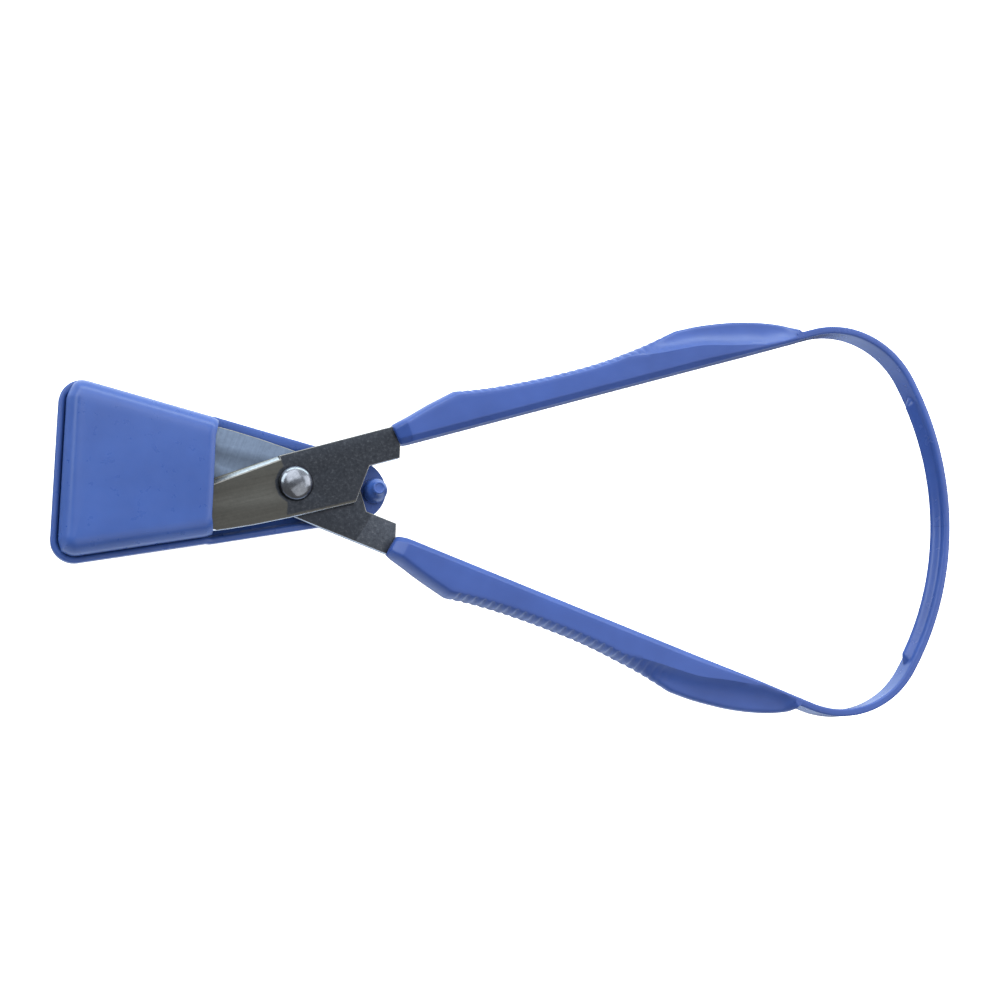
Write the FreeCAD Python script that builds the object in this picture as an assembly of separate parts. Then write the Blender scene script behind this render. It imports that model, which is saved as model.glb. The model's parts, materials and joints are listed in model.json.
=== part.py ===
"""Self-opening loop scissors in their wedge-shaped blade sheath.

The scissors lie flat on Z = 0. X runs along the bisector of the two handles, with the blade tips at -X
and the loop's end at +X, and the upper grip is at +Y. Drawing coordinates have the pivot at (0, 0);
save() then moves every piece so that the origin is the middle of the whole object's underside.
"""
import FreeCAD, Part
import os
from math import atan2, cos, degrees, radians, sin
from FreeCAD import Vector, Placement, Rotation

# Layers along Z, from the surface that the scissors lie on
DEPTH = 8.8                      # grips and sheath, from back to front
MID = DEPTH / 2                  # the plane in which the two blades slide on each other
BLADE_THICKNESS = 1.4
BLADE_PLAY = 0.03                # between either blade and the mid plane

# Blades: the front one is drawn, and the rear one is the same blade turned over about X
EDGE_START = (-4.0, 5.85)        # where the cutting edge begins, beside the pivot
EDGE_ANGLE = 24.06               # of the cutting edge, below -X
EDGE_LENGTH = 41.9
TIP_RADIUS = 0.9
SPINE_LIMIT = -11.5              # the spine runs level here, so that the sheath slides straight off
SPINE_BEND = (-17.0, -11.5)
SPINE_KNEE = (-8.3, -9.6)
HEEL_LOW = (13.6, -3.3)
HEEL_HIGH = (16.35, 5.0)
TANG_CORNER = (23.2, 7.25)
TANG_SIDE = (23.2, 11.0)
TANG_TOP = (20.9, 14.2)
TANG_REACH = 15.0                # of the tang inside its grip
TANG_WIDTH = 3.6
BEVEL_WIDTH = 0.95
BEVEL_LAND = 0.35                # thickness left at the cutting edge

# Pivot rivet
SHANK_RADIUS = 2.0
PIVOT_PLAY = 0.05
HEAD_RADIUS = 3.9
HEAD_HEIGHT = 2.3
TAIL_RADIUS = 3.0
TAIL_HEIGHT = 1.35

# Loop band: a corner arc, then an end arc, in each half
BAND = 1.7                       # thickness in the plane of the loop
BAND_DEPTH = 7.0
LOOP_END = 157.7                 # outermost point of the loop, from the pivot
END_RADIUS = 70.0                # of the loop's outer face at its end
CORNER_RADIUS = 22.0             # of the outer face at its corners
CORNER_ANGLE = 30.3              # where the end arc meets the corner arc
GRIP_ANGLE = 18.5                # of each handle to the bisector
BAND_SEGMENTS = 7                # flexing lengths in each half
KNUCKLE_PLAY = 0.2
MIDDLE_GAP = 0.6                 # from either half's free end to the bisector

# Grips
GRIP_INNER = (23.1, 10.07)
GRIP_OUTER = (20.8, 14.6)
FLARE = (34.9, 23.35)            # finger stop at the front end of the ridged stretch
PALM = (88.3, 42.2)              # corner where the palm rest begins
PALM_CREST = [(117.6, 45.5), (111.0, 46.1), (103.0, 45.6), (94.5, 44.0)]
WAIST = [(79.3, 37.4), (68.5, 32.55), (55.5, 28.2), (44.0, 25.1)]
SHOULDER = [(29.0, 19.8), (24.2, 16.6)]
GRIP_CHAMFER = 0.8
NECK = 3.0                       # plain band between the palm rest and the first flexing line

# Sheath
SHEATH_END = -51.6               # closed end of the sheath, from the pivot
MOUTH = -17.2
PLATE = 1.3
TRAY_WIDE = 21.05                # half height of the tray at its closed end, if its corners were sharp
TRAY_SLOPE = 0.212               # that half height's loss per millimetre towards the pivot
CORNER = 5.0
RIM_WIDTH = 1.0
RIM_TOP = 2.9
COVER_INSET = 1.1                # from the tray's outline to the pocket cover's sides
COVER_WALL = 0.9
COVER_ROUND = 2.0
FLEX_LINE = -15.0                # where the tongue bends, from the pivot
FLEX_PLAY = 0.25
TONGUE_WIDE = 13.5               # half height of the tongue at its flexing line
TONGUE_SLOPE = 0.217
TONGUE_TIP = 21.2
TONGUE_ROUND = 6.0
TONGUE_RIM_TOP = 2.3
RIM_LENGTH = 27.0                # of the rims along the tongue
STUD_X = 18.4
STUD_BASE = 2.8
STUD_TOP = 1.5
STUD_HEIGHT = 6.1

PIVOT_X = -(LOOP_END + SHEATH_END) / 2


def point(xy, z=0.0):
    return Vector(xy[0], xy[1], z)


def along(xy, angle, distance):
    """The point that lies a distance from xy in the direction of an angle in degrees."""
    a = radians(angle)
    return (xy[0] + distance * cos(a), xy[1] + distance * sin(a))


def line(a, b):
    return Part.LineSegment(point(a), point(b)).toShape()


def spline(points):
    curve = Part.BSplineCurve()
    curve.interpolate([point(p) for p in points])
    return curve.toShape()


def slab(edges, low, high):
    """The solid between two heights whose outline is a closed run of edges."""
    face = Part.Face(Part.Wire(Part.__sortEdges__(edges)))
    face.translate(Vector(0, 0, low))
    return face.extrude(Vector(0, 0, high - low))


def polygon(points, low, high):
    return slab([line(a, b) for a, b in zip(points, points[1:] + points[:1])], low, high)


def post(xy, radius, low, high):
    return Part.makeCylinder(radius, high - low, point(xy, low))


def turned_over(shape):
    """The same piece turned half a turn about the bisector, at mid depth."""
    copy = shape.copy()
    flip = Placement(Vector(0, 0, DEPTH), Rotation(Vector(1, 0, 0), 180))
    copy.Placement = flip.multiply(copy.Placement)
    return copy


def mirrored(shape):
    """The same piece on the other side of the bisector."""
    return shape.mirror(Vector(0, 0, 0), Vector(0, 1, 0))


def outline_edges(shape, height):
    """The edges of a slab's face at a height."""
    return [e for e in shape.Edges if all(abs(v.Z - height) < 1e-6 for v in e.Vertexes)
            and abs(e.CenterOfMass.z - height) < 1e-6]


# Blades and pivot

def blade():
    tip = along(EDGE_START, 180 + EDGE_ANGLE, EDGE_LENGTH)
    tip_centre = (tip[0] + TIP_RADIUS, SPINE_LIMIT + TIP_RADIUS)
    tip_front = along(tip_centre, 90 + EDGE_ANGLE, TIP_RADIUS)
    tip_side = (tip_centre[0] - TIP_RADIUS, tip_centre[1])
    tip_low = (tip_centre[0], SPINE_LIMIT)
    tang_slope = degrees(atan2(TANG_TOP[1] - EDGE_START[1], TANG_TOP[0] - EDGE_START[0]))
    reach_top = along(TANG_TOP, tang_slope, TANG_REACH)
    reach_low = along(reach_top, tang_slope - 90, TANG_WIDTH)
    points = [TANG_CORNER, TANG_SIDE, reach_low, reach_top, TANG_TOP, EDGE_START, tip_front]
    edges = [line(a, b) for a, b in zip(points, points[1:])]
    edges.append(Part.Arc(point(tip_front), point(tip_side), point(tip_low)).toShape())
    edges.append(line(tip_low, SPINE_BEND))
    edges.append(spline([SPINE_BEND, SPINE_KNEE, (2.0, -6.75), HEEL_LOW]))
    edges += [line(HEEL_LOW, HEEL_HIGH), line(HEEL_HIGH, TANG_CORNER)]
    low = MID + BLADE_PLAY
    high = MID + BLADE_THICKNESS
    body = slab(edges, low, high)
    hole = post((0, 0), SHANK_RADIUS, low - 1, high + 1)
    return body.cut(hole).cut(cutting_bevel(low + BEVEL_LAND, high))


def cutting_bevel(low, high):
    """The wedge that is ground off along the cutting edge of the front blade."""
    over = 3.0
    profile = [Vector(0, -BEVEL_WIDTH, high), Vector(0, 0, low), Vector(0, over, low),
               Vector(0, over, high + over), Vector(0, -BEVEL_WIDTH, high + over)]
    wedge = Part.Face(Part.makePolygon(profile + profile[:1])).extrude(Vector(-EDGE_LENGTH - over, 0, 0))
    wedge.Placement = Placement(point(EDGE_START), Rotation(Vector(0, 0, 1), EDGE_ANGLE))
    return wedge


def rivet():
    """Domed head on the front blade, shank through both blades, peened tail behind the rear one."""
    top = MID + BLADE_THICKNESS
    bottom = MID - BLADE_THICKNESS
    shank = post((0, 0), SHANK_RADIUS, bottom, top)
    head = dome(HEAD_RADIUS, HEAD_HEIGHT, top, 1)
    tail = dome(TAIL_RADIUS, TAIL_HEIGHT, bottom, -1)
    return shank.fuse(head).fuse(tail)


def dome(radius, height, seat, way):
    """A rivet head: a short straight wall, then a spherical cap. way is 1 for up and -1 for down."""
    wall = height * 0.25
    cap = height - wall
    ball_radius = (radius ** 2 + cap ** 2) / (2 * cap)
    ball = Part.makeSphere(ball_radius, Vector(0, 0, wall + cap - ball_radius))
    head = ball.common(Part.makeCylinder(radius, height, Vector(0, 0, 0)))
    if way < 0:
        head.rotate(Vector(0, 0, 0), Vector(1, 0, 0), 180)
    head.translate(Vector(0, 0, seat))
    return head


# Loop band

END_CENTRE = (LOOP_END - END_RADIUS, 0.0)
CORNER_CENTRE = along(END_CENTRE, CORNER_ANGLE, END_RADIUS - CORNER_RADIUS)
CORNER_LENGTH = (CORNER_RADIUS - BAND / 2) * radians(90 + GRIP_ANGLE - CORNER_ANGLE)
HALF_LENGTH = CORNER_LENGTH + (END_RADIUS - BAND / 2) * radians(CORNER_ANGLE)


def band_point(s, offset=0.0):
    """A point of the upper half of the loop: s along the mid-line from the grip, offset outwards."""
    if s <= CORNER_LENGTH:
        radius = CORNER_RADIUS - BAND / 2
        return along(CORNER_CENTRE, 90 + GRIP_ANGLE - degrees(s / radius), radius + offset)
    radius = END_RADIUS - BAND / 2
    return along(END_CENTRE, CORNER_ANGLE - degrees((s - CORNER_LENGTH) / radius), radius + offset)


def band_arc(s0, s1, offset):
    ends = [s0, CORNER_LENGTH, s1] if s0 < CORNER_LENGTH < s1 else [s0, s1]
    edges = []
    for a, b in zip(ends, ends[1:]):
        places = [band_point(s, offset) for s in (a, (a + b) / 2, b)]
        edges.append(Part.Arc(*[point(p) for p in places]).toShape())
    return edges


def band_strip(s0, s1):
    outer = band_arc(s0, s1, BAND / 2)
    inner = band_arc(s0, s1, -BAND / 2)
    ends = [line(band_point(s, BAND / 2), band_point(s, -BAND / 2)) for s in (s0, s1)]
    return slab(outer + inner + ends, MID - BAND_DEPTH / 2, MID + BAND_DEPTH / 2)


def knuckle(s, radius, over=0.0):
    return post(band_point(s), radius, MID - BAND_DEPTH / 2 - over, MID + BAND_DEPTH / 2 + over)


def band_segment(number):
    """One flexing length of the upper half, hollow at its near end for the knuckle before it."""
    step = HALF_LENGTH / BAND_SEGMENTS
    s0 = number * step
    last = number == BAND_SEGMENTS - 1
    s1 = HALF_LENGTH - MIDDLE_GAP if last else s0 + step
    strip = band_strip(s0, s1)
    if not last:
        strip = strip.fuse(knuckle(s1, BAND / 2)).removeSplitter()
    return strip.cut(knuckle(s0, BAND / 2 + KNUCKLE_PLAY, 1.0))


# Grips

def grip():
    """The upper grip, with a cavity for the tang, and a neck that ends in the first knuckle."""
    hinge = band_point(0.0)
    back = along(hinge, 180 + GRIP_ANGLE, NECK)
    neck_in = along(back, GRIP_ANGLE - 90, BAND / 2)
    neck_out = along(back, GRIP_ANGLE + 90, BAND / 2)
    edges = [
        line(GRIP_INNER, neck_in),
        line(neck_in, neck_out),
        spline([neck_out] + PALM_CREST + [PALM]),
        spline([PALM] + WAIST + [FLARE]),
        spline([FLARE] + SHOULDER + [GRIP_OUTER]),
        line(GRIP_OUTER, GRIP_INNER),
    ]
    body = slab(edges, 0, DEPTH)
    body = body.makeChamfer(GRIP_CHAMFER, outline_edges(body, 0) + outline_edges(body, DEPTH))
    corners = [along(back, GRIP_ANGLE, -1.0), hinge]
    low, high = MID - BAND_DEPTH / 2, MID + BAND_DEPTH / 2
    sides = [along(c, GRIP_ANGLE + side, BAND / 2) for c, side in
             ((corners[0], 90), (corners[1], 90), (corners[1], -90), (corners[0], -90))]
    neck = polygon(sides, low, high).fuse(knuckle(0.0, BAND / 2))
    return body.fuse(neck).removeSplitter()


# Sheath

def wedge_edges(inset, right, width=TRAY_WIDE, slope=TRAY_SLOPE, left=SHEATH_END, corner=CORNER):
    """A wedge outline with two rounded corners at its wide end, drawn a distance inside the given one."""
    tilt = degrees(atan2(slope, 1.0))
    drop = inset / cos(radians(tilt))
    x0 = left + inset
    high = width - drop - slope * inset
    low_right = high - slope * (right - x0)
    r = max(corner - inset, 0.6)
    centre = (x0 + r, high - slope * r - r / cos(radians(tilt)))
    top = along(centre, 90 - tilt, r)
    middle = along(centre, 135 - tilt / 2, r)
    side = (x0, centre[1])
    edges = [Part.Arc(point(top), point(middle), point(side)).toShape()]
    edges.append(Part.Arc(*[point((p[0], -p[1])) for p in (top, middle, side)]).toShape())
    edges.append(line(side, (side[0], -side[1])))
    edges.append(line(top, (right, low_right)))
    edges.append(line((top[0], -top[1]), (right, -low_right)))
    edges.append(line((right, low_right), (right, -low_right)))
    return edges


def tray():
    """Back plate of the pocket with a rim round it, up to the line where the tongue bends."""
    end = FLEX_LINE
    plate = slab(wedge_edges(0, end), 0, PLATE)
    rim = slab(wedge_edges(0, MOUTH - 1.0), PLATE, RIM_TOP)
    rim = rim.cut(slab(wedge_edges(RIM_WIDTH, 0), 0, DEPTH))
    return plate.fuse(rim).removeSplitter().cut(flex_knuckle(PLATE / 2 + FLEX_PLAY))


def flex_knuckle(radius):
    """The round of the flexing line, along Y."""
    half = TONGUE_WIDE + 3
    return Part.makeCylinder(radius, 2 * half, Vector(FLEX_LINE, -half, PLATE / 2), Vector(0, 1, 0))


def cover():
    """Pocket cover: a shallow box with rounded front edges, open at the mouth, on the tray's plate."""
    box = slab(wedge_edges(COVER_INSET, MOUTH), PLATE, DEPTH)
    front = [e for e in outline_edges(box, DEPTH) if e.CenterOfMass.x < MOUTH - 0.1]
    box = box.makeFillet(COVER_ROUND, front)
    hollow = slab(wedge_edges(COVER_INSET + COVER_WALL, MOUTH + 5), 0, DEPTH - COVER_WALL * 1.5)
    return box.cut(hollow)


def tongue_edges(inset):
    """The tongue's outline, from the flexing line to its round tip, drawn a distance inside the real one."""
    high = TONGUE_WIDE - inset
    tip = (TONGUE_TIP - inset, 0.0)
    shoulder_x = TONGUE_TIP - TONGUE_ROUND
    shoulder = (shoulder_x, high - TONGUE_SLOPE * (shoulder_x - FLEX_LINE))
    middle = (tip[0] - 0.29 * TONGUE_ROUND, 0.58 * shoulder[1])
    edges = [line((FLEX_LINE, high), (FLEX_LINE, -high))]
    for side in (1, -1):
        start, bend, round_middle = [(x, side * y) for x, y in ((FLEX_LINE, high), shoulder, middle)]
        edges.append(line(start, bend))
        edges.append(Part.Arc(point(bend), point(round_middle), point(tip)).toShape())
    return edges


def tongue():
    """Springy end of the back plate, with low rims along its sides and a round bead on its flexing line."""
    plate = slab(tongue_edges(0), 0, PLATE)
    bead_start = Vector(FLEX_LINE, -TONGUE_WIDE, PLATE / 2)
    bead = Part.makeCylinder(PLATE / 2, 2 * TONGUE_WIDE, bead_start, Vector(0, 1, 0))
    rim = slab(tongue_edges(0), PLATE, TONGUE_RIM_TOP).cut(slab(tongue_edges(RIM_WIDTH), 0, DEPTH))
    past_bead = Part.makeBox(RIM_LENGTH, 4 * TONGUE_WIDE, DEPTH, Vector(FLEX_LINE + 1, -2 * TONGUE_WIDE, 0))
    return plate.fuse(bead).fuse(rim.common(past_bead)).removeSplitter()


def stud():
    """Tapered locking stud that stands in the crotch between the tangs."""
    return Part.makeCone(STUD_BASE, STUD_TOP, STUD_HEIGHT, Vector(STUD_X, 0, PLATE))


def save(name, shape):
    shape = shape.copy()
    shape.translate(Vector(PIVOT_X, 0, 0))
    solids = shape.Solids
    kept = solids[0] if len(solids) == 1 else Part.makeCompound(solids)
    kept.exportStep("parts/%s.step" % name)
    print("%-16s %d solid, %8.1f mm3, valid %s" % (name, len(solids), kept.Volume, kept.isValid()))


def main():
    os.makedirs("parts", exist_ok=True)
    front = blade()
    rear = turned_over(front)
    rear = rear.cut(post((0, 0), SHANK_RADIUS + PIVOT_PLAY, 0, DEPTH))
    upper = grip()
    save("front_blade", front)
    save("rear_blade", rear)
    save("pivot_rivet", rivet())
    save("upper_grip", upper.cut(front))
    save("lower_grip", mirrored(upper).cut(rear))
    for number in range(BAND_SEGMENTS):
        segment = band_segment(number)
        save("upper_loop_%d" % (number + 1), segment)
        save("lower_loop_%d" % (number + 1), mirrored(segment))
    save("sheath_tray", tray())
    save("sheath_cover", cover())
    save("sheath_tongue", tongue())
    save("sheath_stud", stud())


main()
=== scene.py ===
"""Looks for the self-opening loop scissors in their wedge-shaped sheath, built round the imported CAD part.

Shapes are drawn in millimetres with the blade pivot at (0, 0) and Z up from the lowest face of the
scissors. place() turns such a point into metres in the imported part's own frame.
"""
import json
from math import atan2, ceil, cos, degrees, hypot, pi, radians, sin, sqrt

import bmesh
import bpy
import numpy as np
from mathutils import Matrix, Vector


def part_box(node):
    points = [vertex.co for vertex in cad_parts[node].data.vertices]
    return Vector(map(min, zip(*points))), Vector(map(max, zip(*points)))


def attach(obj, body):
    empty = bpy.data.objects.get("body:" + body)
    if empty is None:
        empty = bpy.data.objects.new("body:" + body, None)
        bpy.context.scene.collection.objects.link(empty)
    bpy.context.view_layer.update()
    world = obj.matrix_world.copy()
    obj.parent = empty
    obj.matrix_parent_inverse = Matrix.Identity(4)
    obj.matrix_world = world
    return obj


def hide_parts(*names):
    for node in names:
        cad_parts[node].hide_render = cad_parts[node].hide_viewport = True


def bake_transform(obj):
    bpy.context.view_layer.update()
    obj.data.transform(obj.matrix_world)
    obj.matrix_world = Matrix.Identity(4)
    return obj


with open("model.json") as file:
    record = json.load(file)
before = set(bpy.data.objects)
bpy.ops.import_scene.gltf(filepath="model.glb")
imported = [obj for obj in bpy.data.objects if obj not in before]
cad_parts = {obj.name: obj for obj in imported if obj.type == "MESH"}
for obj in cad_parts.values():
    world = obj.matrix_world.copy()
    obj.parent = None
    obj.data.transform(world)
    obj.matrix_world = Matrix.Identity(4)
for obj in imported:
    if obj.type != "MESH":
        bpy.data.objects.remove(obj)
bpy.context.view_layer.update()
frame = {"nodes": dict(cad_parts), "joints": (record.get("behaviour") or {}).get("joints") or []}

MM = 0.001
JOINTS = {j["name"]: j for j in frame["joints"]}
PIVOT_X = JOINTS["blade_pivot"]["pos_m"][0]
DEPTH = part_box("upper_grip")[1].z / MM   # of the grips and the whole object
MID = DEPTH / 2


def place(p):
    """A drawing point in metres, in the part's frame."""
    return (p[0] * MM + PIVOT_X, p[1] * MM, p[2] * MM)


def smooth_step(x, low, high):
    """0 up to low, 1 from high on, and an eased rise between them."""
    t = min(max((x - low) / (high - low), 0.0), 1.0)
    return t * t * (3 - 2 * t)


def mix(a, b, share):
    """a at share 0, b at share 1."""
    return a + (b - a) * share


# ---------------------------------------------------------------- meshes

def build(name, points, faces, material, sharp=38.0):
    """A smooth-shaded mesh from drawing points, creased where faces meet at more than sharp degrees."""
    mesh = bpy.data.meshes.new(name)
    mesh.from_pydata([place(p) for p in points], [], faces)
    mesh.validate()
    tidy = bmesh.new()
    tidy.from_mesh(mesh)
    bmesh.ops.remove_doubles(tidy, verts=tidy.verts, dist=1e-7)
    bmesh.ops.recalc_face_normals(tidy, faces=tidy.faces)
    tidy.to_mesh(mesh)
    tidy.free()
    mesh.shade_smooth()
    mesh.set_sharp_from_angle(angle=radians(sharp))
    mesh.materials.append(material)
    piece = bpy.data.objects.new(name, mesh)
    bpy.context.scene.collection.objects.link(piece)
    return piece


def loft(name, rings, material, sharp=38.0, caps=(True, True)):
    """A skin over rings that have equal numbers of points, closed at both ends unless caps says not."""
    count = len(rings[0])
    points = [p for ring in rings for p in ring]
    faces = []
    for i in range(len(rings) - 1):
        for j in range(count):
            k = (j + 1) % count
            faces.append((i * count + j, i * count + k, (i + 1) * count + k, (i + 1) * count + j))
    if caps[0]:
        faces.append(tuple(range(count))[::-1])
    if caps[1]:
        faces.append(tuple(range(len(points) - count, len(points))))
    return build(name, points, faces, material, sharp)


def lathe(name, centre, profile, material, steps=64, sharp=38.0):
    """A turned piece: profile is (radius, height) from the bottom to the top, round a vertical axis."""
    rings = []
    for radius, height in profile:
        angles = [2 * pi * k / steps for k in range(steps)]
        rings.append([(centre[0] + radius * cos(a), centre[1] + radius * sin(a), height) for a in angles])
    return loft(name, rings, material, sharp)


def soften(corners, radius, steps=3):
    """A closed polygon with each corner cut by a small curve of steps + 1 points."""
    made = []
    for i, corner in enumerate(corners):
        here = np.array(corner[:2], float)
        before = np.array(corners[i - 1][:2], float)
        after = np.array(corners[(i + 1) % len(corners)][:2], float)
        reach = min(radius, np.linalg.norm(before - here) * 0.45, np.linalg.norm(after - here) * 0.45)
        a = here + (before - here) / max(np.linalg.norm(before - here), 1e-9) * reach
        b = here + (after - here) / max(np.linalg.norm(after - here), 1e-9) * reach
        for k in range(steps + 1):
            t = k / steps
            made.append(tuple((1 - t) ** 2 * a + 2 * t * (1 - t) * here + t * t * b))
    return made


def spline_points(points, per_span=12):
    """Points along a smooth open curve through the given ones (Catmull-Rom)."""
    p = [np.array(q, float) for q in points]
    p = [2 * p[0] - p[1]] + p + [2 * p[-1] - p[-2]]
    made = []
    for i in range(1, len(p) - 2):
        for k in range(per_span):
            t = k / per_span
            made.append(0.5 * (2 * p[i] + (p[i + 1] - p[i - 1]) * t
                               + (2 * p[i - 1] - 5 * p[i] + 4 * p[i + 1] - p[i + 2]) * t * t
                               + (3 * p[i] - p[i - 1] - 3 * p[i + 1] + p[i + 2]) * t ** 3))
    made.append(p[-2])
    return made


# ---------------------------------------------------------------- materials

def new_material(name):
    """(material, its node tree, its shader node)"""
    material = bpy.data.materials.new(name)
    material.use_nodes = True
    tree = material.node_tree
    return material, tree, tree.nodes["Principled BSDF"]


def noise(tree, scale, detail=4.0, roughness=0.55, stretch=None, turn=0.0):
    """Noise fixed to the object, with features about 1/scale metres across.

    stretch draws it out along its own axes, which are turned by so many degrees about Z.
    """
    where = tree.nodes.new("ShaderNodeTexCoord")
    source = where.outputs["Object"]
    if stretch or turn:
        mapping = tree.nodes.new("ShaderNodeMapping")
        mapping.vector_type = "TEXTURE"
        mapping.inputs["Scale"].default_value = stretch or (1, 1, 1)
        mapping.inputs["Rotation"].default_value = (0, 0, radians(turn))
        tree.links.new(source, mapping.inputs["Vector"])
        source = mapping.outputs["Vector"]
    texture = tree.nodes.new("ShaderNodeTexNoise")
    texture.inputs["Scale"].default_value = scale
    texture.inputs["Detail"].default_value = detail
    texture.inputs["Roughness"].default_value = roughness
    tree.links.new(source, texture.inputs["Vector"])
    return texture.outputs["Fac"]


def ramp(tree, source, stops):
    """A colour ramp from (position, colour or grey level) stops."""
    node = tree.nodes.new("ShaderNodeValToRGB")
    elements = node.color_ramp.elements
    while len(elements) < len(stops):
        elements.new(0.5)
    for element, (position, colour) in zip(elements, stops):
        element.position = position
        element.color = (*colour, 1) if isinstance(colour, tuple) else (colour, colour, colour, 1)
    tree.links.new(source, node.inputs["Fac"])
    return node.outputs["Color"]


def bump(tree, shader, heights):
    """Chains bumps onto the shader's normal. heights is a list of (source, strength, distance in mm)."""
    last = None
    for source, strength, distance in heights:
        node = tree.nodes.new("ShaderNodeBump")
        node.inputs["Strength"].default_value = strength
        node.inputs["Distance"].default_value = distance * MM
        tree.links.new(source, node.inputs["Height"])
        if last:
            tree.links.new(last, node.inputs["Normal"])
        last = node.outputs["Normal"]
    tree.links.new(last, shader.inputs["Normal"])


def calc(tree, operation, a, b=0.0):
    """One arithmetic step on sockets or numbers. SQRT and ABSOLUTE take only a."""
    node = tree.nodes.new("ShaderNodeMath")
    node.operation = operation
    for socket, value in zip(node.inputs, (a, b)):
        if isinstance(value, (int, float)):
            socket.default_value = value
        else:
            tree.links.new(value, socket)
    return node.outputs[0]


def drawing_xy(tree):
    """Sockets with a surface point's drawing coordinates in millimetres."""
    where = tree.nodes.new("ShaderNodeTexCoord")
    split = tree.nodes.new("ShaderNodeSeparateXYZ")
    tree.links.new(where.outputs["Object"], split.inputs[0])
    x = calc(tree, "MULTIPLY", calc(tree, "SUBTRACT", split.outputs["X"], PIVOT_X), 1000.0)
    return x, calc(tree, "MULTIPLY", split.outputs["Y"], 1000.0)


def edge_mask(tree, distance, softness, waver=0.0):
    """0 to 1 across the line where a distance in millimetres is zero, with a slightly uneven edge."""
    if waver:
        uneven = calc(tree, "MULTIPLY", calc(tree, "SUBTRACT", noise(tree, 900.0, 3.0), 0.5), waver)
        distance = calc(tree, "ADD", distance, uneven)
    node = tree.nodes.new("ShaderNodeMapRange")
    node.interpolation_type = "SMOOTHSTEP"
    node.inputs["From Min"].default_value = -softness
    node.inputs["From Max"].default_value = softness
    tree.links.new(distance, node.inputs["Value"])
    return node.outputs["Result"]


def blend_colour(tree, share, a, b):
    """Colour a where share is 0, b where it is 1. share is a socket or a number."""
    node = tree.nodes.new("ShaderNodeMix")
    node.data_type = "RGBA"
    if isinstance(share, float):
        node.inputs["Factor"].default_value = share
    else:
        tree.links.new(share, node.inputs["Factor"])
    tree.links.new(a, node.inputs["A"])
    tree.links.new(b, node.inputs["B"])
    return node.outputs["Result"]


def moulded_plastic(name, light, dark, roughness):
    """Mid-blue moulding: faint drift in its colour, slow shallow waves, and uneven gloss."""
    material, tree, shader = new_material(name)
    drift = noise(tree, 60.0, 3.0)
    tree.links.new(ramp(tree, drift, [(0.35, dark), (0.68, light)]), shader.inputs["Base Color"])
    gloss = noise(tree, 420.0, 5.0)
    low, high = roughness
    tree.links.new(ramp(tree, gloss, [(0.3, low), (0.75, high)]), shader.inputs["Roughness"])
    shader.inputs["IOR"].default_value = 1.49
    shader.inputs["Specular IOR Level"].default_value = 0.24
    waves = noise(tree, 170.0, 2.0)
    bump(tree, shader, [(waves, 0.12, 0.08)])
    return material


def steel(name, stops, roughness, brushed=None, turn=0.0, pits=0.0, zone=None, tone=None):
    """Bare steel with a mottled tone and uneven polish.

    stops and roughness are the darkest to lightest colours and the range of the polish.
    brushed is the scale of streaks that run at turn degrees to X. pits is how deep small pits look.
    zone is (function that makes a mask, stops of a second finish where the mask is 1).
    tone is (function that makes a mask, how many times brighter the steel is where it is 1), used for
    painted light.
    """
    material, tree, shader = new_material(name)
    shader.inputs["Metallic"].default_value = 1.0
    mottle = noise(tree, 1100.0, 6.0, 0.70)
    colour = ramp(tree, mottle, stops)
    if brushed:
        streaks = noise(tree, brushed, 5.0, 0.7, (30.0, 1.0, 1.0), turn)
        streaky = ramp(tree, streaks, [(0.36, stops[0][1]), (0.64, stops[-1][1])])
        colour = blend_colour(tree, 0.45, colour, streaky)
    heights = [(noise(tree, 2600.0, 3.0), 0.3, 0.01)]
    if brushed:
        heights.append((streaks, 0.18, 0.02))
    if zone:
        mask = zone[0](tree)
        second = ramp(tree, noise(tree, 1500.0, 6.0, 0.72), zone[1])
        colour = blend_colour(tree, mask, colour, second)
    if tone:
        gain = calc(tree, "ADD", calc(tree, "MULTIPLY", tone[0](tree), tone[1] - 1.0), 1.0)
        lift = tree.nodes.new("ShaderNodeVectorMath")
        lift.operation = "SCALE"
        tree.links.new(colour, lift.inputs[0])
        tree.links.new(gain, lift.inputs["Scale"])
        colour = lift.outputs["Vector"]
    tree.links.new(colour, shader.inputs["Base Color"])
    low, high = roughness
    polish = noise(tree, 900.0, 4.0)
    tree.links.new(ramp(tree, polish, [(0.3, low), (0.7, high)]), shader.inputs["Roughness"])
    if pits:
        spots = noise(tree, 1500.0, 2.0, 0.4)
        heights.append((ramp(tree, spots, [(0.27, 0.0), (0.36, 1.0)]), pits, 0.05))
    bump(tree, shader, heights)
    return material


def front_tumbled_zone_and_rivet_shade(tree):
    """Where the front blade keeps its dark tumbled skin over the tang, and a ring of painted shade round the
    rivet in the same dark colour.
    """
    x, y = drawing_xy(tree)
    squares = calc(tree, "ADD", calc(tree, "MULTIPLY", x, x), calc(tree, "MULTIPLY", y, y))
    # painted shade: a dark ring out to 4.5 mm from the pivot, just past the rivet head
    rivet_shade_ring = calc(tree, "SUBTRACT", 4.5, calc(tree, "SQRT", squares))
    lean = calc(tree, "MULTIPLY", calc(tree, "MAXIMUM", y, 0.0), 0.38)
    right = calc(tree, "ADD", calc(tree, "ADD", x, 1.6), lean)
    off_spine = calc(tree, "ADD", calc(tree, "SUBTRACT", y, calc(tree, "MULTIPLY", x, 0.288)), 6.7)
    tang = calc(tree, "MINIMUM", right, off_spine)
    return edge_mask(tree, calc(tree, "MAXIMUM", rivet_shade_ring, tang), 0.22, 0.5)


def rear_tumbled_zone(tree):
    """Where the rear blade is dark: from half a millimetre in front of the pivot to the tang's end."""
    x = drawing_xy(tree)[0]
    return edge_mask(tree, calc(tree, "ADD", x, 0.5), 0.3, 0.4)


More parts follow.
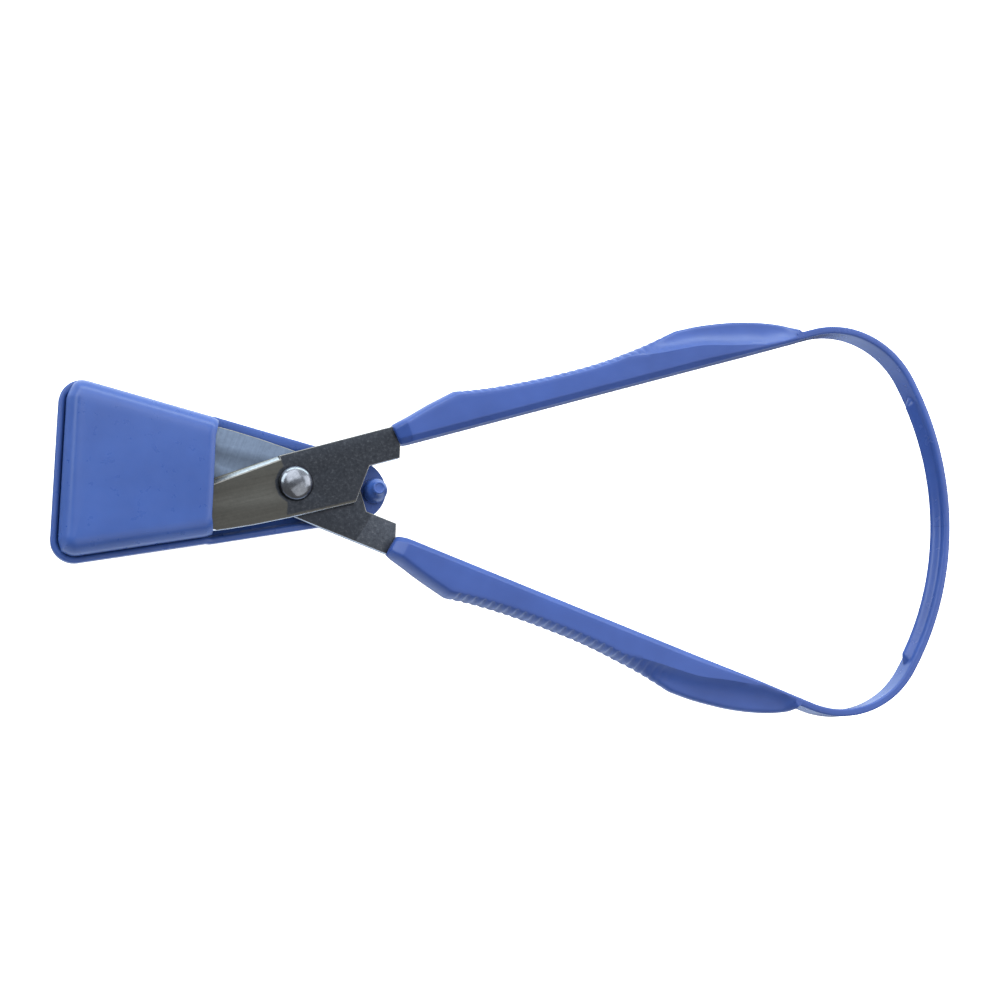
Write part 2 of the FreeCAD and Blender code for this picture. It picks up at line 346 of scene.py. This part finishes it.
def rear_tang_painted_light(tree):
    """Painted light: the end of the rear tang, past the edge of the front blade's shadow, made brighter."""
    x, y = drawing_xy(tree)
    across = calc(tree, "SUBTRACT", x, calc(tree, "MULTIPLY", y, 0.596))
    return edge_mask(tree, calc(tree, "SUBTRACT", across, 21.1), 0.15)


HANDLE_LIGHT = (0.0200, 0.0465, 0.178)
HANDLE_DARK = (0.0155, 0.0370, 0.146)
SHEATH_LIGHT = (0.0225, 0.0530, 0.188)
SHEATH_DARK = (0.0180, 0.0435, 0.160)
handle_plastic = moulded_plastic("handle_plastic", HANDLE_LIGHT, HANDLE_DARK, (0.31, 0.40))
band_plastic = moulded_plastic("band_plastic", HANDLE_LIGHT, HANDLE_DARK, (0.20, 0.30))
sheath_plastic = moulded_plastic("sheath_plastic", SHEATH_LIGHT, SHEATH_DARK, (0.26, 0.36))
TUMBLED = [(0.25, (0.013, 0.015, 0.019)), (0.55, (0.024, 0.027, 0.033)), (0.85, (0.062, 0.067, 0.076))]
tumbled_steel = steel("tumbled_steel", TUMBLED, (0.36, 0.50), pits=0.4)
# its second finish is the tumbled skin over the tang, and the painted shade round the rivet
front_steel = steel("front_face_steel", [(0.30, (0.039, 0.039, 0.036)), (0.75, (0.053, 0.053, 0.049))],
                    (0.40, 0.50), brushed=1900.0, turn=17.0, pits=0.2, zone=(front_tumbled_zone_and_rivet_shade, TUMBLED))
# the blue tint of its colour is a painted reflection; the brushed streaks are the steel's own
# tone paints light on the end of the rear tang, beyond the front blade's shadow
rear_steel = steel("rear_face_steel", [(0.30, (0.056, 0.073, 0.104)), (0.75, (0.078, 0.102, 0.144))],
                   (0.34, 0.46), brushed=2200.0, turn=72.0, zone=(rear_tumbled_zone, TUMBLED),
                   tone=(rear_tang_painted_light, 1.6))
ground_steel = steel("ground_steel", [(0.30, (0.090, 0.090, 0.088)), (0.75, (0.150, 0.150, 0.146))],
                     (0.36, 0.46), brushed=1900.0, turn=17.0)
honed_steel = steel("honed_steel", [(0.30, (0.165, 0.184, 0.206)), (0.75, (0.240, 0.260, 0.286))],
                    (0.36, 0.46), brushed=2600.0, turn=66.0)
# painted highlight: near-white steel for the broken edges that face the light
painted_highlight_edge = steel("painted_highlight_edge", [(0.30, (0.70, 0.78, 0.90)), (0.75, (0.82, 0.90, 1.0))], (0.34, 0.44))
rivet_steel = steel("rivet_steel", [(0.30, (0.085, 0.093, 0.108)), (0.75, (0.140, 0.150, 0.170))],
                    (0.16, 0.22))


# ---------------------------------------------------------------- grips

GRIP_ANGLE = 18.5                       # of each handle to the bisector
GRIP_INNER = np.array((23.1, 10.07))    # front corner of the inner side
GRIP_OUTER = (20.8, 14.6)               # front corner of the outer side
FLARE = (34.9, 23.35)                   # finger stop
PALM = (88.3, 42.2)                     # where the scooped palm rest is fully formed
PALM_EDGE = 1.5                         # half thickness of its thin outer edge
BAND = 1.7                              # thickness of the springy band
BAND_DEPTH = 7.0
NECK = 3.0                              # straight stretch of band behind each grip
CHAMFER = 1.25                          # along the grip's inner side
RIDGE_PITCH = 1.95                      # fine grooves across the outer side
RIDGE_DEPTH = 0.36
SCALLOP_PITCH = 9.3                     # broad nicks along its back edge
SCALLOP_DEPTH = 0.45
RIDGE_SHARE = {1: 0.5, -1: 1.0}         # both are shallower on the upper grip than on the lower one

END_RADIUS = 70.0                       # the loop's flat end, from -CORNER_ANGLE to CORNER_ANGLE
CORNER_RADIUS = 22.0                    # its two corners
CORNER_ANGLE = 30.3
LOOP_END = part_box("upper_loop_7")[1].x / MM - PIVOT_X / MM
SEGMENTS = sum(name.startswith("upper_flex_") for name in JOINTS)


def polar(centre, angle, radius):
    """The point so many degrees round a circle."""
    return (centre[0] + radius * cos(radians(angle)), centre[1] + radius * sin(radians(angle)))


END_CENTRE = (LOOP_END - END_RADIUS, 0.0)
CORNER_CENTRE = polar(END_CENTRE, CORNER_ANGLE, END_RADIUS - CORNER_RADIUS)
CORNER_LENGTH = (CORNER_RADIUS - BAND / 2) * radians(90 + GRIP_ANGLE - CORNER_ANGLE)
HALF_LENGTH = CORNER_LENGTH + (END_RADIUS - BAND / 2) * radians(CORNER_ANGLE)


def band_place(s):
    """(point, angle of the outward normal) on the upper half of the loop, s mm along its mid-line."""
    if s < 0:
        start, angle = band_place(0.0)
        return polar(start, angle + 90, -s), angle
    if s <= CORNER_LENGTH:
        radius = CORNER_RADIUS - BAND / 2
        angle = 90 + GRIP_ANGLE - degrees(s / radius)
        return polar(CORNER_CENTRE, angle, radius), angle
    radius = END_RADIUS - BAND / 2
    angle = CORNER_ANGLE - degrees((s - CORNER_LENGTH) / radius)
    return polar(END_CENTRE, angle, radius), angle


FORWARD = np.array((cos(radians(GRIP_ANGLE)), sin(radians(GRIP_ANGLE))))
OUTWARD = np.array((-FORWARD[1], FORWARD[0]))
NECK_CENTRE = np.array(polar(band_place(0.0)[0], GRIP_ANGLE, -NECK))
NECK_OUTER = tuple(NECK_CENTRE + OUTWARD * BAND / 2)
GRIP_LENGTH = float((NECK_CENTRE - GRIP_INNER) @ FORWARD)


def along_grip(p):
    """(distance along the inner side, distance out from it) of a drawing point."""
    rest = np.array(p[:2], float) - GRIP_INNER
    return float(rest @ FORWARD), float(rest @ OUTWARD)


def outer_profile():
    """The grip's outer side as matching lists: distances along the inner side, and widths."""
    spans = [[GRIP_OUTER, (24.2, 16.6), (29.0, 19.8), FLARE],
             [FLARE, (44.0, 25.1), (55.5, 28.2), (68.5, 32.55), (79.3, 37.4), PALM],
             [PALM, (94.5, 44.0), (103.0, 45.6), (111.0, 46.1), (117.6, 45.5), NECK_OUTER]]
    places = [along_grip(p) for span in spans for p in spline_points(span)]
    places.sort()
    s = np.linspace(places[0][0], places[-1][0], 1600)
    widths = np.interp(s, [p[0] for p in places], [p[1] for p in places])
    window = np.hanning(15)
    eased = np.convolve(np.pad(widths, 7, mode="edge"), window / window.sum(), mode="valid")
    return s, eased


OUTER_S, OUTER_WIDTH = outer_profile()
S_START = OUTER_S[0]
S_FLARE = along_grip(FLARE)[0]
S_PALM = along_grip(PALM)[0]


def grip_shape(s):
    """(half depth, inner chamfer, how far in from the edge the outer side's curve begins) at s mm."""
    half = mix(DEPTH / 2, BAND_DEPTH / 2, smooth_step(s, GRIP_LENGTH - 17, GRIP_LENGTH))
    chamfer = mix(CHAMFER, 0.45, smooth_step(s, GRIP_LENGTH - 30, GRIP_LENGTH - 6))
    run = mix(1.5, 5.0, min(max((s - S_PALM + 14.5) / 14.5, 0.0), 1.0))
    run = mix(run, 6.4, smooth_step(s, S_PALM, S_PALM + 14))
    run = mix(run, 0.5, smooth_step(s, GRIP_LENGTH - 3.5, GRIP_LENGTH))
    return half, chamfer, run


def ridge_depth(s, z_share):
    """How deep the grooves across the outer side cut: fine ones, and broad scallops at the back edge."""
    inside = smooth_step(s, S_FLARE + 0.8, S_FLARE + 2.2) * (1 - smooth_step(s, S_PALM - 4.0, S_PALM - 0.5))
    groove = (0.5 + 0.5 * cos(2 * pi * (s - S_FLARE) / RIDGE_PITCH)) ** 1.6
    fine = RIDGE_DEPTH * groove * smooth_step(z_share, -0.95, -0.1)
    nick = (0.5 + 0.5 * cos(2 * pi * (s - S_FLARE - 4) / SCALLOP_PITCH)) ** 6
    return inside * (fine + SCALLOP_DEPTH * nick * (1 - smooth_step(z_share, -1.0, -0.45)))


def outer_side(s, half, high, run, ridges, steps=10):
    """Points of the outer side from the back face to the front face: a soft edge, or the palm scoop.

    ridges is the share of their full depth that the grooves have.
    """
    palm = smooth_step(s, S_PALM - 14, S_PALM - 2)
    palm *= 1 - smooth_step(s, GRIP_LENGTH - 4.5, GRIP_LENGTH - 0.3)
    made = []
    for k in range(-steps, steps + 1):
        share = abs(k) / steps
        sign = 1 if k > 0 else -1
        angle = pi / 2 * share
        edge = (high - run + run * cos(angle) ** 1.15, half * sin(angle) ** 1.05)
        back = run * share ** 1.35
        lip = sqrt(max(1 - max(1 - back / 0.8, 0.0) ** 2, 0.0))
        scoop = (high - back, (PALM_EDGE + (half - PALM_EDGE) * (back / run) ** 2.2) * lip)
        t = mix(edge[0], scoop[0], palm)
        z = mix(edge[1], scoop[1], palm) * sign
        reach = smooth_step(t, high - run, high - run * 0.6)
        made.append((t - ridge_depth(s, z / half) * reach * ridges * (1 - 0.6 * palm), z))
    return made


def grip_ring(s, trim, drop, side):
    """A closed ring round the grip. trim narrows it and drop lowers both faces, for the rounded end.

    lean slants the front end, whose outer corner lies further forward than its inner one.
    """
    half, chamfer, run = grip_shape(s)
    lean = S_START * max(0.0, 1 - s / 12) ** 2
    width = float(np.interp(s + lean, OUTER_S, OUTER_WIDTH))
    half -= drop
    low, high = trim, width - trim
    chamfer = min(chamfer, 0.4 * (high - low), half * 0.6)
    run = min(run, high - low - chamfer - 0.3)
    inner = [(low + chamfer, -half), (low, -half + chamfer), (low, half - chamfer), (low + chamfer, half)]
    inner_points = 16
    ring = soften(inner + [(high - run, half), (high - run, -half)], 0.22)[:inner_points]
    flat = high - run - low - chamfer
    ring += [(low + chamfer + flat * f, half) for f in (0.3, 0.6, 0.85)]
    ring += outer_side(s, half, high, run, RIDGE_SHARE[side])[::-1]
    ring += [(low + chamfer + flat * f, -half) for f in (0.85, 0.6, 0.3)]
    made = []
    for t, z in ring:
        share = (t - low) / max(width, 0.1)
        p = GRIP_INNER + FORWARD * (s + lean * share) + OUTWARD * t
        made.append((p[0], side * p[1], MID + z))
    return made


def grip(name, body, side, node):
    """One grip. end_face is its rounded front end as (place along it, trim, drop)."""
    end_face = [(0.0, 0.62, 2.30), (0.05, 0.40, 2.02), (0.20, 0.24, 1.80), (0.50, 0.12, 1.55),
                (1.20, 0.03, 1.02), (1.90, 0.0, 0.52), (2.50, 0.0, 0.13), (2.66, 0.0, 0.04),
                (2.85, 0.0, 0.0)]
    stations = list(np.arange(3.3, S_FLARE - 1, 0.8))
    stations += list(np.arange(S_FLARE - 1, S_PALM + 1.0, RIDGE_PITCH / 11))
    stations += list(np.arange(S_PALM + 1.3, GRIP_LENGTH + 0.4, 0.6))
    rings = [grip_ring(s, trim, drop, side) for s, trim, drop in end_face]
    rings += [grip_ring(s, 0.0, 0.0, side) for s in stations]
    piece = loft(name, rings, handle_plastic, sharp=42)
    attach(piece, body)
    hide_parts(node)


# ---------------------------------------------------------------- loop band

RIB_START = {1: 33.0, -1: 30.6}         # mm along the upper and the lower half, where the inner rib begins
RIB_HEIGHT = 1.75
RIB_REACH = 2.1                         # half the rib's width, with the soft fillets at its foot
BAND_CORNER = 0.45                      # rounding of the band's four edges
BAND_TUCK = 1.6                         # how far the band reaches into each grip
STEP = HALF_LENGTH / SEGMENTS           # from one flexing line to the next


def rib_height(s, z, start):
    """Height above the band's inner face of the rounded rib, which begins with a round end."""
    past = max(start + RIB_REACH - s, 0.0)
    away = min(hypot(z, past * 0.8) / RIB_REACH, 1.0)
    return RIB_HEIGHT * (1 - away ** 2) ** 1.7


def round_edge(offset, z, start, steps=4):
    """A quarter of a circle round (offset, z), from start degrees on."""
    angles = [radians(start + 90 * k / steps) for k in range(steps + 1)]
    return [(offset + BAND_CORNER * cos(a), z + BAND_CORNER * sin(a)) for a in angles]


def band_ring(s, side):
    """The band's closed outline s mm along one half, with the rib on its inner face."""
    half = BAND_DEPTH / 2
    outer = BAND / 2
    inner = -BAND / 2
    ring = [(outer, z) for z in (-half + 1.2, 0.0, half - 1.2)]
    ring += round_edge(outer - BAND_CORNER, half - BAND_CORNER, 0)
    ring += round_edge(inner + BAND_CORNER, half - BAND_CORNER, 90)
    heights = [half - 1.0]
    heights += [RIB_REACH * cos(radians(a)) for a in range(0, 181, 10)]
    heights += [-half + 1.0]
    ring += [(inner - rib_height(s, z, RIB_START[side]), z) for z in heights]
    ring += round_edge(inner + BAND_CORNER, -half + BAND_CORNER, 180)
    ring += round_edge(outer - BAND_CORNER, -half + BAND_CORNER, 270)
    centre, angle = band_place(s)
    made = []
    for offset, z in ring:
        p = polar(centre, angle, offset)
        made.append((p[0], side * p[1], MID + z))
    return made


def band_stations(start, end, side):
    """Places along a length of band, close together where the rib's round end is."""
    count = ceil((end - start) / 0.42)
    places = list(np.linspace(start, end, count + 1))
    rib = RIB_START[side]
    places += [s for s in np.arange(rib - 0.1, rib + RIB_REACH + 0.1, 0.12) if start < s < end]
    return sorted(places)


def band_piece(name, start, end, side):
    rings = [band_ring(s, side) for s in band_stations(start, end, side)]
    return loft(name, rings, band_plastic, sharp=50)


def band(side_name, side, root):
    """One half of the springy loop: a length of band for each flexing line, and a stiff one that ends the
    half.
    """
    before = root
    for number in range(1, SEGMENTS + 1):
        start = -NECK - BAND_TUCK if number == 1 else (number - 1.5) * STEP
        end = (number - 0.5) * STEP
        piece = band_piece("%s_band_bend_%d" % (side_name, number), start, end, side)
        body = "%s_band_%d" % (side_name, number)
        bend_from = band_place(-STEP / 2 if number == 1 else start)[0]
        bend_to = band_place(end)[0]
        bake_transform(piece)
        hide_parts("%s_loop_%d" % (side_name, number))
        before = body
    last = band_piece("%s_band_end" % side_name, (SEGMENTS - 0.5) * STEP, HALF_LENGTH - 0.01, side)
    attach(last, before)


# ---------------------------------------------------------------- sheath

SHEATH_END = (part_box("sheath_tray")[0].x - PIVOT_X) / MM
TRAY_WIDE = 21.05                       # half width that the wedge's sides would have at its closed end
TRAY_SLOPE = 0.212                      # how fast that half width falls
CORNER = 5.0                            # radius of the closed end's corners
MOUTH = (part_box("sheath_cover")[1].x - PIVOT_X) / MM
FLEX_X = (JOINTS["tongue_flex"]["pos_m"][0] - PIVOT_X) / MM
PLATE = 1.3                             # thickness of the back plate and tongue
TONGUE_WIDE = 13.5                      # the tongue's half width at the line where it flexes
TONGUE_SLOPE = 0.217
TONGUE_TIP = (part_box("sheath_tongue")[1].x - PIVOT_X) / MM
TONGUE_ROUND = 6.0                      # length of its rounded tip
COVER_LIP = 1.7                         # turned-in edge of the cover at its mouth
WEDGE_TILT = degrees(atan2(TRAY_SLOPE, 1.0))
CORNER_X = SHEATH_END + CORNER
CORNER_Y = TRAY_WIDE - TRAY_SLOPE * CORNER - CORNER / cos(radians(WEDGE_TILT))


def wedge_half(end_x, spacing=0.8):
    """The upper half of the sheath's outline, from the middle of its closed end to end_x."""
    points = [(SHEATH_END, y) for y in np.linspace(0.0, CORNER_Y, 14)]
    for angle in np.linspace(180, 90 - WEDGE_TILT, 14)[1:]:
        points.append(polar((CORNER_X, CORNER_Y), angle, CORNER))
    x, y = points[-1]
    for x_now in np.linspace(x, end_x, ceil((end_x - x) / spacing) + 1)[1:]:
        points.append((x_now, y - TRAY_SLOPE * (x_now - x)))
    return points


def tongue_half(start_x, spacing=0.6):
    """The upper half of the tongue's outline, from start_x to the middle of its round tip."""
    shoulder_x = TONGUE_TIP - TONGUE_ROUND
    points = []
    for x in np.linspace(start_x, shoulder_x, ceil((shoulder_x - start_x) / spacing) + 1):
        points.append((x, TONGUE_WIDE - TONGUE_SLOPE * (x - FLEX_X)))
    a = np.array(points[-1])
    b = a + np.array((1.0, -TONGUE_SLOPE)) * TONGUE_ROUND * 0.5
    d = np.array((TONGUE_TIP, 0.0))
    c = d + np.array((0.0, a[1] * 0.5))
    for t in np.linspace(0, 1, 16)[1:]:
        u = 1 - t
        points.append(tuple(u ** 3 * a + 3 * t * u ** 2 * b + 3 * t * t * u * c + t ** 3 * d))
    return points


def inward_normals(points):
    """Unit normals, to the right of the way along a line of points."""
    p = np.array(points, float)
    way = np.gradient(p, axis=0)
    way /= np.linalg.norm(way, axis=1)[:, None]
    return np.stack([way[:, 1], -way[:, 0]], axis=1)


def sheath_back():
    """Back plate of the pocket and springy tongue, one moulding, with a bead round its edge.

    section is the edge from the underside up and in: (inset, base, share of the bead, dip).
    """
    step_x = MOUTH - 1.2
    half = wedge_half(step_x) + tongue_half(step_x + 0.9)
    normals = inward_normals(half)
    normals[0] = (1.0, 0.0)
    normals[-1] = (-1.0, 0.0)
    outline = [(p, n) for p, n in zip(half, normals)]
    outline += [((p[0], -p[1]), (n[0], -n[1])) for p, n in list(zip(half, normals))[-2:0:-1]]

    def rim(x):
        """Height of the edge bead above the plate: tall round the pocket, low along the tongue."""
        tall = mix(1.6, 1.0, smooth_step(x, step_x - 0.3, step_x + 1.6))
        return tall * (1 - smooth_step(x, 9.5, 13.5)) + 0.02

    def ring(inset, base, share, dip):
        """The outline moved in by inset, at base plus a share of the bead, less dip where it is tall."""
        made = []
        for p, n in outline:
            z = base + share * rim(p[0]) - dip * min(rim(p[0]), 1)
            reach = inset + 1.2 * max(inset - 0.55, 0.0) * smooth_step(-n[1], 0.3, 0.9)
            made.append((p[0] + n[0] * reach, p[1] + n[1] * reach, z))
        return made

    section = [
        (0.55, 0.0, 0, 0), (0.22, 0.06, 0, 0), (0.05, 0.28, 0, 0), (0.0, 0.6, 0, 0),
        (0.0, PLATE, 1, 0.45), (0.10, PLATE, 1, 0.17), (0.30, PLATE, 1, 0.03), (0.55, PLATE, 1, 0),
        (0.90, PLATE, 1, 0.02), (1.15, PLATE, 1, 0.09), (1.38, PLATE, 0.74, 0), (1.60, PLATE, 0.50, 0),
        (1.85, PLATE, 0.20, 0), (2.10, PLATE, 0, 0),
    ]
    rings = [ring(*level) for level in section]
    low, high = SHEATH_END + 3, TONGUE_TIP - 3
    foot = rings[-1]
    for share in (0.35, 0.75, 1.0):
        rings.append([(mix(x, min(max(x, low), high), share), y * (1 - share), PLATE) for x, y, z in foot])
    under = []
    for share in (1.0, 0.75, 0.35):
        under.append([(mix(x, min(max(x, low), high), share), y * (1 - share), 0.0) for x, y, z in rings[0]])
    piece = loft("sheath_back", under + rings, sheath_plastic, sharp=48, caps=(False, False))
    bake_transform(piece)
    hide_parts("sheath_tray", "sheath_tongue")


def sheath_cover():
    """Pocket cover: a crowned, thin-walled half shell with soft edges, open at its mouth.

    levels is its outer face as (inset, height). spare adds to the inset at the closed end and on the
    -Y side, less and less towards the top.
    """
    half = wedge_half(MOUTH - COVER_LIP, 0.7)
    corner_x, corner_y = half[-1]
    half += [(corner_x + d, corner_y - TRAY_SLOPE * d) for d in (0.35, 0.7, 1.0, 1.25, 1.45, 1.6, 1.7)]
    normals = inward_normals(half)
    normals[0] = (1.0, 0.0)
    line = [(p, n) for p, n in list(zip(half, normals))[::-1]]
    line += [((p[0], -p[1]), (n[0], -n[1])) for p, n in list(zip(half, normals))[1:]]
    top = DEPTH
    levels = [(0.62, 2.92), (0.42, 3.05), (0.38, 3.4), (0.46, 4.2), (0.72, 5.3), (1.15, 6.3), (1.75, 7.15),
              (2.4, 7.80), (3.1, 8.27), (3.9, 8.54), (4.78, top - 0.14)]
    rings = []
    for step, (inset, z) in enumerate(levels):
        spare = 1.5 * (1 - step / (len(levels) - 1))
        ring = []
        for p, n in line:
            lip = max(1 - (MOUTH - p[0]) / COVER_LIP, 0.0) ** 2
            reach = inset + spare * max(smooth_step(n[0], 0.3, 0.95), 0.8 * smooth_step(n[1], 0.3, 0.9))
            reach += 0.30 * lip
            fall = 0.55 * lip * (z - PLATE) / (top - PLATE)
            ring.append((min(p[0] + n[0] * reach, MOUTH), p[1] + n[1] * reach, z - fall))
        rings.append(ring)
    centre_x = SHEATH_END + 7.5
    last = rings[-1]
    for share in (0.08, 0.2, 0.4, 0.7, 1.0):
        rise = 0.14 * (1 - (1 - share) ** 3)
        rings.append([(mix(x, max(x, centre_x), share), y * (1 - share), z + rise) for x, y, z in last])
    count = len(line)
    points = [p for ring in rings for p in ring]
    faces = []
    for i in range(len(rings) - 1):
        for j in range(count - 1):
            faces.append((i * count + j, i * count + j + 1, (i + 1) * count + j + 1, (i + 1) * count + j))
    piece = build("sheath_cover_shell", points, faces, sheath_plastic, sharp=60)
    wall = piece.modifiers.new("wall", "SOLIDIFY")
    wall.thickness = 0.95 * MM
    wall.offset = -1.0
    edges = piece.modifiers.new("edges", "BEVEL")
    edges.width = 0.22 * MM
    edges.segments = 2
    edges.limit_method = "ANGLE"
    edges.angle_limit = radians(60)
    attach(piece, "sheath")
    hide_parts("sheath_cover")


def stud():
    """Tapered locking stud with a filleted foot and a rounded ring round its flat top."""
    low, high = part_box("sheath_stud")
    centre = ((low.x + high.x) / 2 / MM - PIVOT_X / MM, 0.0)
    foot = (high.x - low.x) / 2 / MM
    top = high.z / MM
    profile = [(0.01, PLATE - 0.3), (foot - 0.05, PLATE - 0.3), (foot, PLATE), (foot - 0.02, PLATE + 0.6),
               (foot - 0.08, PLATE + 1.6), (foot - 0.22, PLATE + 2.6), (foot - 0.46, PLATE + 3.5),
               (foot - 0.80, PLATE + 4.3), (foot - 1.20, PLATE + 4.95), (1.42, top - 0.50),
               (1.36, top - 0.22), (1.28, top - 0.07), (1.18, top), (1.06, top - 0.01),
               (0.97, top - 0.08), (0.92, top - 0.18), (0.86, top - 0.2), (0.01, top - 0.2)]
    piece = lathe("locking_stud", centre, profile, sheath_plastic, steps=56, sharp=55)
    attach(piece, "tongue")
    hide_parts("sheath_stud")


# ---------------------------------------------------------------- blades and rivet

BLADE = 1.4                             # thickness of each blade


def blade(node, body, name, front):
    """The CAD blade with fine broken edges, honed along its cutting bevel, and a painted highlight on the
    broken edges that face up and towards +X or -Y.
    """
    source = frame["nodes"][node]
    mesh = source.data.copy()
    mesh.materials.clear()
    face_steel = front_steel if front else rear_steel
    for material in (tumbled_steel, ground_steel, face_steel, honed_steel, painted_highlight_edge):
        mesh.materials.append(material)
    under, rim, top, honed, highlight_index = range(5)
    work = bmesh.new()
    work.from_mesh(mesh)
    bmesh.ops.remove_doubles(work, verts=work.verts, dist=1e-6)
    bmesh.ops.dissolve_limit(work, angle_limit=radians(1.5), verts=work.verts, edges=work.edges)
    for face in work.faces:
        slope = abs(face.normal.z)
        if slope >= 0.95:
            face.material_index = top if face.normal.z > 0 else under
        elif slope > 0.3:
            face.material_index = honed
        else:
            face.material_index = rim
    sharp_edges = [e for e in work.edges if len(e.link_faces) == 2 and e.calc_face_angle() > radians(25)]
    made = bmesh.ops.bevel(work, geom=sharp_edges, offset=0.2 * MM, segments=2, affect="EDGES", profile=0.6)
    # broken edges facing up and towards +X or -Y get the painted highlight; the rest are plain ground steel
    for face in made["faces"]:
        lit = face.normal.z > 0.25 and (face.normal.x > 0.45 or face.normal.y < -0.3)
        face.material_index = highlight_index if lit else rim
    work.to_mesh(mesh)
    work.free()
    mesh.shade_smooth()
    mesh.set_sharp_from_angle(angle=radians(40))
    piece = bpy.data.objects.new(name, mesh)
    bpy.context.scene.collection.objects.link(piece)
    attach(piece, body)
    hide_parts(node)


def rivet():
    """Polished domed head on a thin flange, shank, and peened tail."""
    low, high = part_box("pivot_rivet")
    radius = (high.x - low.x) / 2 / MM
    top, bottom = high.z / MM, low.z / MM
    seat = MID + BLADE
    under = MID - BLADE
    profile = [(0.01, bottom), (1.1, bottom + 0.04), (2.1, bottom + 0.22), (2.75, bottom + 0.6),
               (2.98, bottom + 0.95), (2.98, under), (1.95, under), (1.95, seat), (radius - 0.2, seat),
               (radius - 0.04, seat + 0.12)]
    steps = 18
    rise = top - seat - 0.3
    for k in range(steps + 1):
        angle = pi / 2 * k / steps
        profile.append((max(radius * cos(angle) ** 0.9, 0.01), seat + 0.3 + rise * sin(angle)))
    piece = lathe("pivot_rivet_polished", (0, 0), profile, rivet_steel, steps=72, sharp=40)
    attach(piece, "front_half")
    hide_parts("pivot_rivet")


# ---------------------------------------------------------------- studio

def area_light(name, position, size, power, colour=(1, 1, 1)):
    """A soft oblong lamp that faces the middle of the object. position and size are in metres."""
    data = bpy.data.lights.new(name, "AREA")
    data.shape = "RECTANGLE"
    data.size, data.size_y = size
    data.energy = power
    data.color = colour
    lamp = bpy.data.objects.new(name, data)
    lamp.location = position
    lamp.rotation_euler = (-Vector(position)).to_track_quat("-Z", "Y").to_euler()
    bpy.context.scene.collection.objects.link(lamp)


def paper_floor():
    """Plain pale floor, low enough for the bent tongue, and left out of reflections."""
    mesh = bpy.data.meshes.new("floor")
    reach, under = 3.0, -7.2 * MM
    mesh.from_pydata([(-reach, -reach, under), (reach, -reach, under), (reach, reach, under),
                      (-reach, reach, under)], [], [(0, 1, 2, 3)])
    material, tree, shader = new_material("floor_paper")
    tone = ramp(tree, noise(tree, 3.0, 2.0), [(0.3, 0.955), (0.7, 0.97)])
    tree.links.new(tone, shader.inputs["Base Color"])
    shader.inputs["Roughness"].default_value = 0.9
    shader.inputs["Specular IOR Level"].default_value = 0.1
    shader.inputs["Emission Color"].default_value = (1.0, 1.0, 1.0, 1.0)
    shader.inputs["Emission Strength"].default_value = 0.4
    mesh.materials.append(material)
    floor = bpy.data.objects.new("floor", mesh)
    bpy.context.scene.collection.objects.link(floor)
    floor.visible_glossy = False


def surroundings():
    """Grey towards -Y and pale towards +Y. Below the horizon dark, and pale blue far to both sides."""
    world = bpy.data.worlds.new("studio")
    world.use_nodes = True
    tree = world.node_tree
    background = tree.nodes["Background"]
    where = tree.nodes.new("ShaderNodeTexCoord")
    split = tree.nodes.new("ShaderNodeSeparateXYZ")
    tree.links.new(where.outputs["Generated"], split.inputs[0])
    along = calc(tree, "ADD", calc(tree, "MULTIPLY", split.outputs["Y"], 0.5), 0.5)
    tones = [(0.0, (0.210, 0.205, 0.195)), (0.36, (0.19, 0.188, 0.186)), (0.52, (0.22, 0.225, 0.235)),
             (0.74, (0.58, 0.60, 0.63)), (1.0, (0.94, 0.97, 1.0))]
    above = ramp(tree, calc(tree, "ADD", split.outputs["Z"], 0.5), [(0.40, 0.0), (0.56, 1.0)])
    aside = calc(tree, "ABSOLUTE", split.outputs["Y"])
    below = ramp(tree, aside, [(0.15, (0.055, 0.058, 0.070)), (0.38, (0.50, 0.60, 0.76))])
    sky = blend_colour(tree, above, below, ramp(tree, along, tones))
    tree.links.new(sky, background.inputs["Color"])
    background.inputs["Strength"].default_value = 2.6
    bpy.context.scene.world = world


def lamps():
    """Key and rim light from +Y, fill from -Y, and one lamp from each end."""
    area_light("key", (-0.20, 0.52, 0.72), (0.8, 0.8), 6.8, (0.98, 0.99, 1.0))
    area_light("fill", (0.30, -0.35, 0.75), (0.9, 0.9), 4.5, (1.0, 0.99, 0.97))
    area_light("rim", (0.10, 0.75, 0.16), (1.3, 0.24), 6.5, (0.86, 1.0, 0.98))
    area_light("left", (-0.60, 0.30, 0.30), (0.5, 0.3), 2.8, (0.90, 1.0, 1.0))
    area_light("side", (0.55, 0.20, 0.45), (0.5, 0.5), 3.0)


def camera():
    """High above, just past the sheath's closed end, looking down and a little towards the loop."""
    data = bpy.data.cameras.new("camera")
    data.lens = 72.9
    data.sensor_width = 36.0
    data.clip_start = 0.01
    eye = bpy.data.objects.new("camera", data)
    eye.location = (-0.1274, -0.0662, 0.4404)
    eye.rotation_euler = (radians(7.833), radians(-15.760), radians(1.595))
    bpy.context.scene.collection.objects.link(eye)
    bpy.context.scene.camera = eye


grip("upper_grip_moulding", "front_half", 1, "upper_grip")
grip("lower_grip_moulding", "rear_half", -1, "lower_grip")
band("upper", 1, "front_half")
band("lower", -1, "rear_half")
sheath_back()
sheath_cover()
stud()
blade("front_blade", "front_half", "front_blade_steel", True)
blade("rear_blade", "rear_half", "rear_blade_steel", False)
rivet()
paper_floor()
surroundings()
lamps()
camera()
bpy.context.scene.view_settings.view_transform = "Standard"

bpy.context.view_layer.update()
